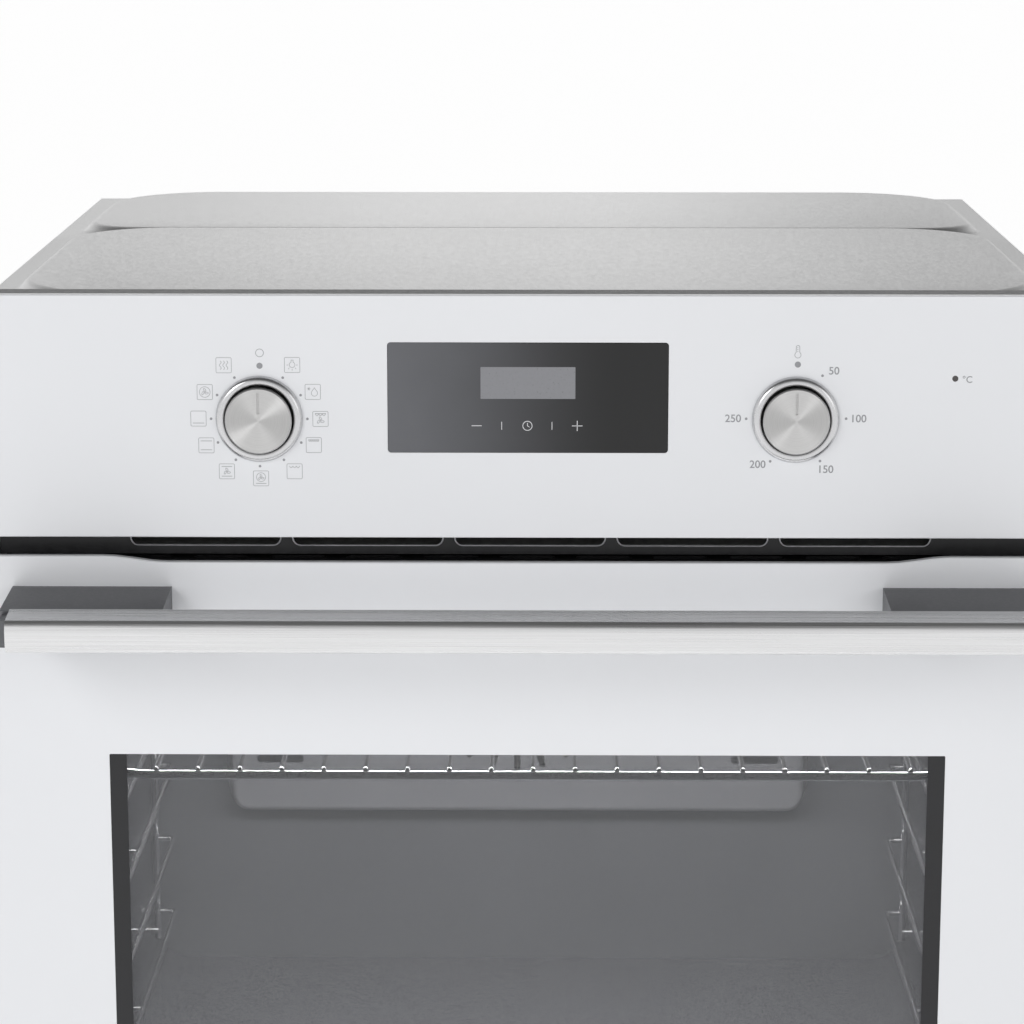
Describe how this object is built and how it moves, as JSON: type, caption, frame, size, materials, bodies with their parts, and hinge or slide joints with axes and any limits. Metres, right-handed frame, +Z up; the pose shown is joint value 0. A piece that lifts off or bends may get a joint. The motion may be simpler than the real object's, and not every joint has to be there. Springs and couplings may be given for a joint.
{
  "type": "wall oven",
  "caption": "Built-in oven with a flat control panel, two retractable knobs, a display, a drop-down glass door with a bar handle, and a galvanised casing.",
  "frame": {"origin": "underside of the casing, in the middle of the whole width and of the whole depth, handle and rear cover included", "axes": "+X to the right as one faces the oven, -Y out of the front, +Z up"},
  "size_m": [0.595, 0.624, 0.595],
  "materials": {
    "white_print_glass": "gloss",
    "clear_glass": "gloss",
    "white_enamel_print": "gloss",
    "black_glass": "gloss",
    "lens_glass": "gloss",
    "galvanised_steel": "satin",
    "zinc_steel": "satin",
    "grey_painted_steel": "satin",
    "dark_enamel": "gloss",
    "bright_wire": "polished",
    "element_sheath": "satin",
    "satin_aluminium": "satin",
    "die_cast_grey": "matte",
    "grey_plastic": "matte",
    "black_plastic": "matte",
    "white_plastic": "matte",
    "signal_plastic": "gloss",
    "circuit_board": "matte",
    "seal_cord": "matte",
    "mineral_wool": "matte",
    "ceramic_part": "matte"
  },
  "bodies": {
    "oven_body": {"panel_glass": "white_print_glass", "display_glass": "black_glass", "panel_carrier": "grey_plastic", "display_module": "black_plastic", "pilot_lamp": "signal_plastic", "knob_rings": "satin_aluminium", "vent_grille": "grey_painted_steel", "switch_plate": "galvanised_steel", "function_selector": "black_plastic", "thermostat_switch": "ceramic_part", "thermostat_probe": "zinc_steel", "control_board": "circuit_board", "air_duct": "galvanised_steel", "cooling_fan_housing": "galvanised_steel", "cooling_fan_motor": "zinc_steel", "front_frame": "grey_painted_steel", "cavity_liner": "dark_enamel", "insulation_blanket": "mineral_wool", "door_gasket": "seal_cord", "grill_element": "element_sheath", "bottom_element": "element_sheath", "ring_element": "element_sheath", "fan_cover": "dark_enamel", "convection_motor": "zinc_steel", "lamp_housing": "zinc_steel", "lamp_lens": "lens_glass", "lamp_bulb": "lens_glass", "shelf_racks": "bright_wire", "hinge_receivers": "zinc_steel", "hinge_pins": "zinc_steel", "casing_base": "galvanised_steel", "casing_side_left": "galvanised_steel", "casing_side_right": "galvanised_steel", "casing_top_cover": "galvanised_steel", "casing_back": "galvanised_steel", "rear_cover": "galvanised_steel", "terminal_box": "grey_plastic", "terminal_block": "white_plastic", "cable_gland": "black_plastic", "casing_screws": "zinc_steel"},
    "door": {"door_outer_glass": "clear_glass", "door_print": "white_enamel_print", "door_middle_glass": "clear_glass", "door_inner_glass": "clear_glass", "door_side_rails": "grey_painted_steel", "door_top_rail": "grey_painted_steel", "door_bottom_rail": "grey_painted_steel", "pane_clips": "black_plastic", "hinge_arms": "zinc_steel", "handle_bar": "satin_aluminium", "handle_bracket_left": "die_cast_grey", "handle_bracket_right": "die_cast_grey", "handle_screws": "zinc_steel"},
    "function_spindle": {"function_spindle": "zinc_steel"},
    "function_knob": {"function_knob": "satin_aluminium"},
    "temperature_spindle": {"temperature_spindle": "zinc_steel"},
    "temperature_knob": {"temperature_knob": "satin_aluminium"},
    "convection_impeller": {"convection_impeller": "zinc_steel"},
    "cooling_fan_rotor": {"cooling_fan_rotor": "satin_aluminium"},
    "wire_shelf": {"wire_shelf": "bright_wire"}
  },
  "joints": [
    {"name": "door_hinge", "type": "hinge", "parent": "oven_body", "child": "door", "pos_m": [0, -0.2405, 0.022], "axis": [1, 0, 0], "range_deg": [0, 90], "stiffness_Nm_per_rad": 11},
    {"name": "function_turn", "type": "hinge", "parent": "oven_body", "child": "function_spindle", "pos_m": [-0.1301, -0.2325, 0.5343], "axis": [0, 1, 0], "continuous": true},
    {"name": "function_push", "type": "slide", "parent": "function_spindle", "child": "function_knob", "axis": [0, -1, 0], "range_m": [0, 0.016]},
    {"name": "temperature_turn", "type": "hinge", "parent": "oven_body", "child": "temperature_spindle", "pos_m": [0.1301, -0.2325, 0.5343], "axis": [0, 1, 0], "range_deg": [0, 260]},
    {"name": "temperature_push", "type": "slide", "parent": "temperature_spindle", "child": "temperature_knob", "axis": [0, -1, 0], "range_m": [0, 0.016]},
    {"name": "convection_spin", "type": "hinge", "parent": "oven_body", "child": "convection_impeller", "pos_m": [-0.008, 0.1835, 0.294], "axis": [0, 1, 0], "continuous": true},
    {"name": "cooling_fan_spin", "type": "hinge", "parent": "oven_body", "child": "cooling_fan_rotor", "pos_m": [0, 0.1125, 0.518], "axis": [1, 0, 0], "continuous": true},
    {"name": "shelf_slide", "type": "slide", "parent": "oven_body", "child": "wire_shelf", "axis": [0, -1, 0], "range_m": [-0.02, 0.006]}
  ]
}
